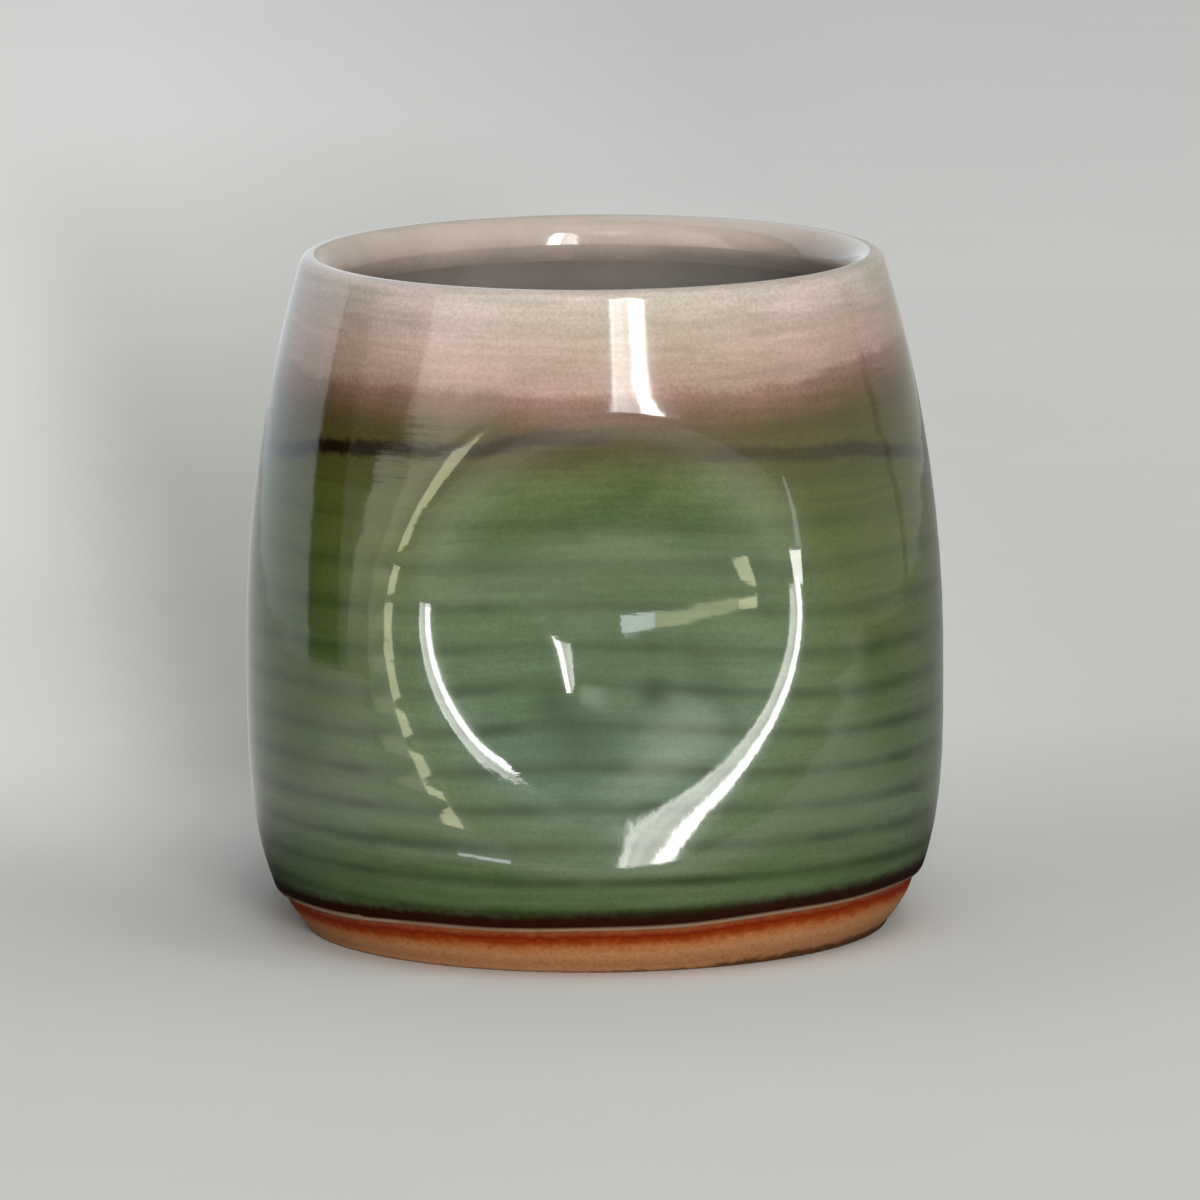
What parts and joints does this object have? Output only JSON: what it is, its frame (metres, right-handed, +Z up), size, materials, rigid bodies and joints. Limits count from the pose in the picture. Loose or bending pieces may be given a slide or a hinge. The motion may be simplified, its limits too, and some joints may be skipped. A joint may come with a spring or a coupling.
{
  "type": "tumbler",
  "caption": "Wheel-thrown stoneware tumbler with a rounded belly, a thumb dimple pressed into its front and glaze coats over bare clay at the foot.",
  "frame": {"origin": "middle of the foot's resting plane, on the axis that the tumbler was thrown about", "axes": "+Z up along the throwing axis, -Y towards the dimple, +X to the right of someone who faces the dimple"},
  "size_m": [0.0906, 0.0893, 0.088],
  "materials": {
    "stoneware": "bare fired clay, matt",
    "green_glaze": "glossy green glaze",
    "pink_glaze": "glossy pink-beige glaze",
    "liner_glaze": "glossy grey-green glaze"
  },
  "bodies": {
    "root": {"clay_body": "stoneware", "green_glaze": "green_glaze", "pink_rim_glaze": "pink_glaze", "liner_glaze": "liner_glaze"}
  },
  "joints": []
}
